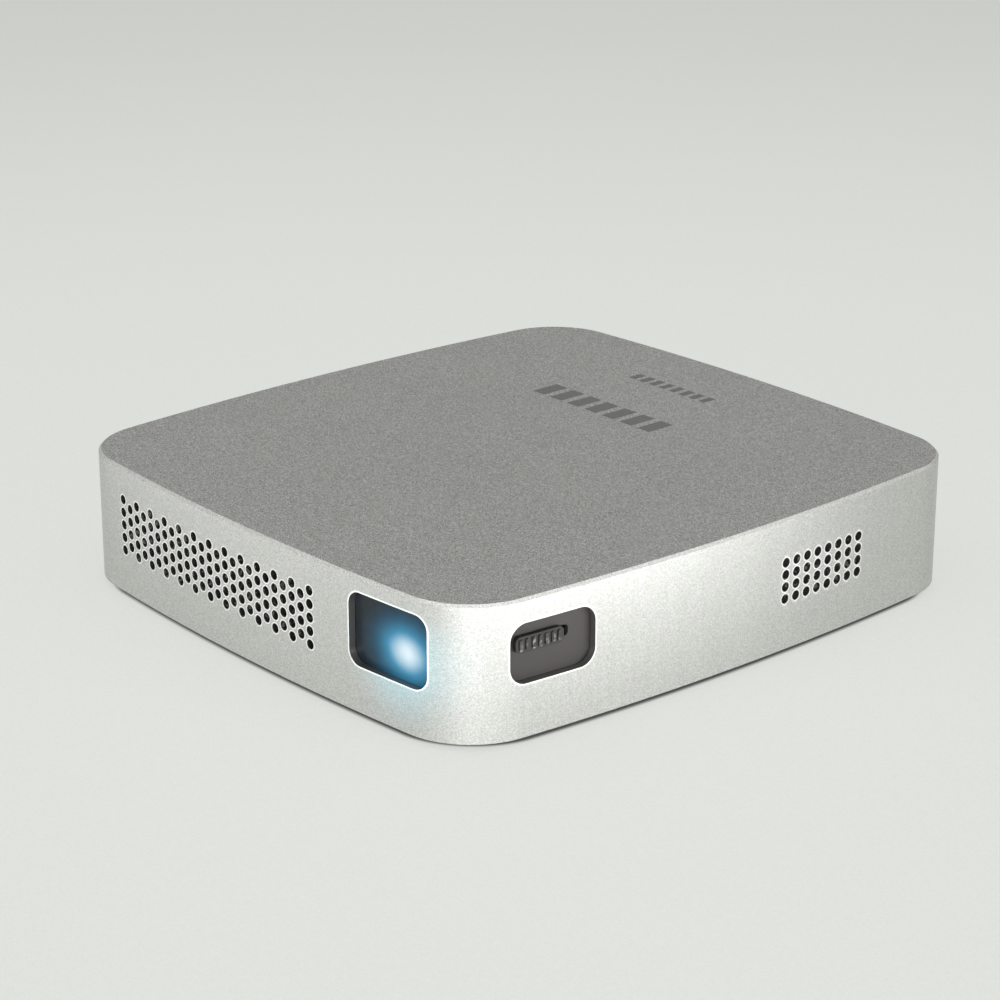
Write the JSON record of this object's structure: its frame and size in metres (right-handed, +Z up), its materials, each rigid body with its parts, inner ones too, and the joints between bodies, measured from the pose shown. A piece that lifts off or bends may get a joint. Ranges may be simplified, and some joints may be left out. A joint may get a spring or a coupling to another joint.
{
  "type": "home projector",
  "caption": "Low square pocket projector with bowed aluminium sides, a recessed lens window, a side focus slider, vent grids, rear sockets and rubber feet.",
  "frame": {"origin": "floor under the middle of the body, where the feet stand", "axes": "+Z up; -Y is the lens face; +Y is the socket face; +X is the side with the focus slider"},
  "size_m": [0.0987, 0.1056, 0.0215],
  "materials": {
    "shell": "bead-blasted, with a bright cut edge",
    "cover_plastic": "matt black",
    "foot_rubber": "soft black",
    "dark_screw": "blackened",
    "steel": "plain",
    "brass": "machined",
    "label": "printed film, left blank",
    "window_glass": "smoked",
    "lens_glass": "coated",
    "black_anodised": "black anodised",
    "panel_plastic": "satin black",
    "grip_plastic": "satin black, pale ribs",
    "engine_cast": "die cast, dark",
    "lid_sheet": "plain sheet",
    "optic_glass": "clear",
    "coated_glass": "dichroic",
    "led_board": "white solder mask",
    "led_die": "phosphor and silicone",
    "chip_package": "ceramic package with a mirror window",
    "green_board": "green solder mask",
    "flex": "amber film",
    "copper": "copper",
    "fin_metal": "plain fins",
    "fan_plastic": "matt black",
    "rotor_plastic": "black",
    "winding": "enamelled copper",
    "red_lead": "red sleeve",
    "black_lead": "black sleeve",
    "tin_plate": "tin plate",
    "chip_black": "moulded",
    "coil_black": "ferrite and sleeves",
    "tray_plastic": "matt",
    "cell_wrap": "blue wrap",
    "cone_paper": "coated paper",
    "mesh_cloth": "black cloth",
    "socket_metal": "nickel plate",
    "socket_plastic": "black",
    "ir_plastic": "dark red, see-through to infrared",
    "key_metal": "bead-blasted",
    "key_plastic": "black",
    "antenna_film": "film with copper"
  },
  "bodies": {
    "case": {"top_shell": "shell", "bottom_cover": "cover_plastic", "base_screws": "dark_screw", "rubber_feet": "foot_rubber", "tripod_insert": "brass", "rating_label": "label", "lens_window": "window_glass", "lens_hood": "panel_plastic", "lens_mount": "engine_cast", "focus_panel": "panel_plastic", "lever_pivot": "steel", "engine_housing": "engine_cast", "engine_lid": "lid_sheet", "engine_screws": "steel", "prism_pair": "optic_glass", "dichroic_mirror": "coated_glass", "relay_lens": "optic_glass", "collimators": "optic_glass", "led_boards": "led_board", "led_emitters": "led_die", "mirror_chip": "chip_package", "chip_board": "green_board", "chip_flex": "flex", "heat_spreaders": "copper", "heat_pipe": "copper", "heat_sink": "fin_metal", "fan_housing": "fan_plastic", "fan_cover": "fan_plastic", "fan_stator": "winding", "fan_screws": "steel", "fan_leads": "red_lead", "main_board": "green_board", "shield_can": "tin_plate", "board_chips": "chip_black", "board_screws": "steel", "driver_board": "green_board", "driver_coils": "coil_black", "battery_tray": "tray_plastic", "battery_cells": "cell_wrap", "battery_board": "green_board", "battery_leads": "red_lead", "speaker_frame": "key_plastic", "speaker_cone": "cone_paper", "speaker_mesh": "mesh_cloth", "speaker_leads": "black_lead", "hdmi_socket": "socket_metal", "usb_socket": "socket_metal", "card_slot": "socket_metal", "audio_jack": "socket_plastic", "dc_jack": "socket_plastic", "ir_window": "ir_plastic", "key_switch": "key_plastic", "wifi_antenna": "antenna_film"},
    "slider": {"focus_slider": "grip_plastic"},
    "lever": {"focus_lever": "steel"},
    "lens_group": {"focus_barrel": "black_anodised", "front_lens": "lens_glass", "rear_lens": "lens_glass"},
    "rotor": {"fan_rotor": "rotor_plastic"},
    "key": {"power_button": "key_metal"}
  },
  "joints": [
    {"name": "focus_slide", "type": "slide", "parent": "case", "child": "slider", "axis": [0.0794, 0.9968, 0], "range_m": [-0.0006, 0.004]},
    {"name": "lever_turn", "type": "hinge", "parent": "case", "child": "lever", "pos_m": [0.0216, -0.03485, 0.01915], "axis": [0, 0, 1], "range_deg": [-2.2, 12.5]},
    {"name": "lens_slide", "type": "slide", "parent": "case", "child": "lens_group", "axis": [0, 1, 0], "range_m": [-0.0004, 0.0023]},
    {"name": "fan_spin", "type": "hinge", "parent": "case", "child": "rotor", "pos_m": [-0.021, -0.018, 0.0075], "axis": [0, 0, 1], "continuous": true},
    {"name": "power_press", "type": "slide", "parent": "case", "child": "key", "axis": [0.9996, 0.0272, 0], "range_m": [0, 0.0004], "stiffness_N_per_m": 300, "springref_m": -0.001}
  ],
  "couplings": [
    {"joint": "lever_turn", "follows": "focus_slide", "rad_per_m": 48.189},
    {"joint": "lens_slide", "follows": "focus_slide", "ratio": 0.49839}
  ]
}
